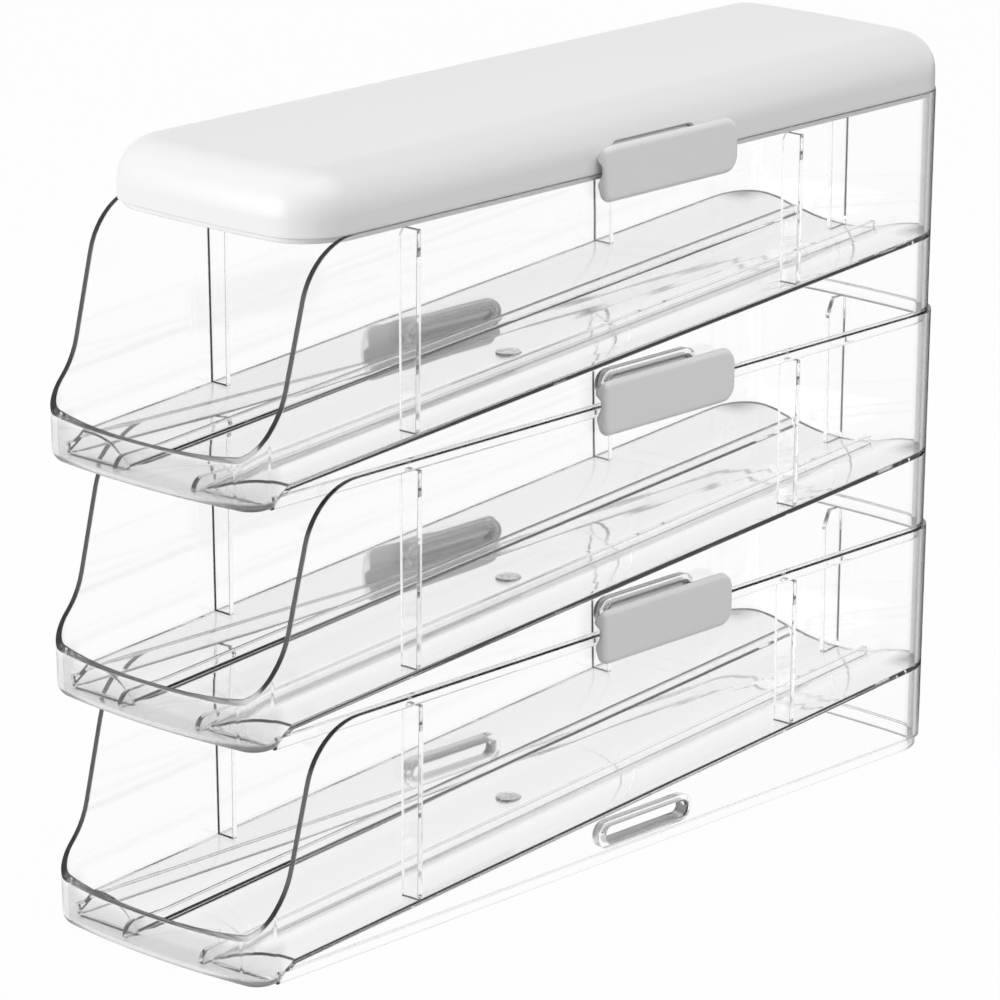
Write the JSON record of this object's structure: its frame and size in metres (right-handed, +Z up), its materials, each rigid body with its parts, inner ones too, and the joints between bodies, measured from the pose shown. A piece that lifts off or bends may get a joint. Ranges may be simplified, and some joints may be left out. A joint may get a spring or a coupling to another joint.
{
  "type": "rolling egg dispenser",
  "caption": "Stack of clear gravity-fed egg channels with sloping runner floors and low front lips, closed by a crowned white lid and held together by white side clips.",
  "frame": {"origin": "on the floor under the centre of the object's box, at the bottom of the lowest tier's foot", "axes": "+X across the width to the right as seen from the mouth, +Y along the length from the mouth to the back wall, +Z up"},
  "size_m": [0.1094, 0.3522, 0.2643],
  "materials": {
    "clear_plastic": "polished clear injection-moulded plastic",
    "white_plastic": "smooth semi-gloss white plastic"
  },
  "bodies": {
    "bottom_tier": {"bottom_tier": "clear_plastic"},
    "middle_tier": {"middle_tier": "clear_plastic"},
    "top_tier": {"top_tier": "clear_plastic"},
    "lid": {"lid": "white_plastic"},
    "middle_clip_right": {"middle_clip_right": "white_plastic"},
    "middle_clip_left": {"middle_clip_left": "white_plastic"},
    "top_clip_right": {"top_clip_right": "white_plastic"},
    "top_clip_left": {"top_clip_left": "white_plastic"},
    "lid_clip_right": {"lid_clip_right": "white_plastic"},
    "lid_clip_left": {"lid_clip_left": "white_plastic"}
  },
  "joints": [
    {"name": "middle_lift", "type": "slide", "parent": "bottom_tier", "child": "middle_tier", "axis": [0, 0, 1], "range_m": [0, 0.018]},
    {"name": "top_lift", "type": "slide", "parent": "middle_tier", "child": "top_tier", "axis": [0, 0, 1], "range_m": [0, 0.018]},
    {"name": "lid_lift", "type": "slide", "parent": "top_tier", "child": "lid", "axis": [0, 0, 1], "range_m": [0, 0.018]},
    {"name": "middle_clip_right_swing", "type": "hinge", "parent": "middle_tier", "child": "middle_clip_right", "pos_m": [0.04661, 0.01515, 0.0914], "axis": [0, -1, 0], "range_deg": [0, 45]},
    {"name": "middle_clip_left_swing", "type": "hinge", "parent": "middle_tier", "child": "middle_clip_left", "pos_m": [-0.04661, 0.01515, 0.0914], "axis": [0, 1, 0], "range_deg": [0, 45]},
    {"name": "top_clip_right_swing", "type": "hinge", "parent": "top_tier", "child": "top_clip_right", "pos_m": [0.04661, 0.01515, 0.1714], "axis": [0, -1, 0], "range_deg": [0, 45]},
    {"name": "top_clip_left_swing", "type": "hinge", "parent": "top_tier", "child": "top_clip_left", "pos_m": [-0.04661, 0.01515, 0.1714], "axis": [0, 1, 0], "range_deg": [0, 45]},
    {"name": "lid_clip_right_swing", "type": "hinge", "parent": "lid", "child": "lid_clip_right", "pos_m": [0.04661, 0.01515, 0.2514], "axis": [0, -1, 0], "range_deg": [0, 45]},
    {"name": "lid_clip_left_swing", "type": "hinge", "parent": "lid", "child": "lid_clip_left", "pos_m": [-0.04661, 0.01515, 0.2514], "axis": [0, 1, 0], "range_deg": [0, 45]}
  ],
  "couplings": [
    {"joint": "middle_clip_right_swing", "follows": "middle_lift", "rad_per_m": 43.633},
    {"joint": "middle_clip_left_swing", "follows": "middle_lift", "rad_per_m": 43.633},
    {"joint": "top_clip_right_swing", "follows": "top_lift", "rad_per_m": 43.633},
    {"joint": "top_clip_left_swing", "follows": "top_lift", "rad_per_m": 43.633},
    {"joint": "lid_clip_right_swing", "follows": "lid_lift", "rad_per_m": 43.633},
    {"joint": "lid_clip_left_swing", "follows": "lid_lift", "rad_per_m": 43.633}
  ]
}
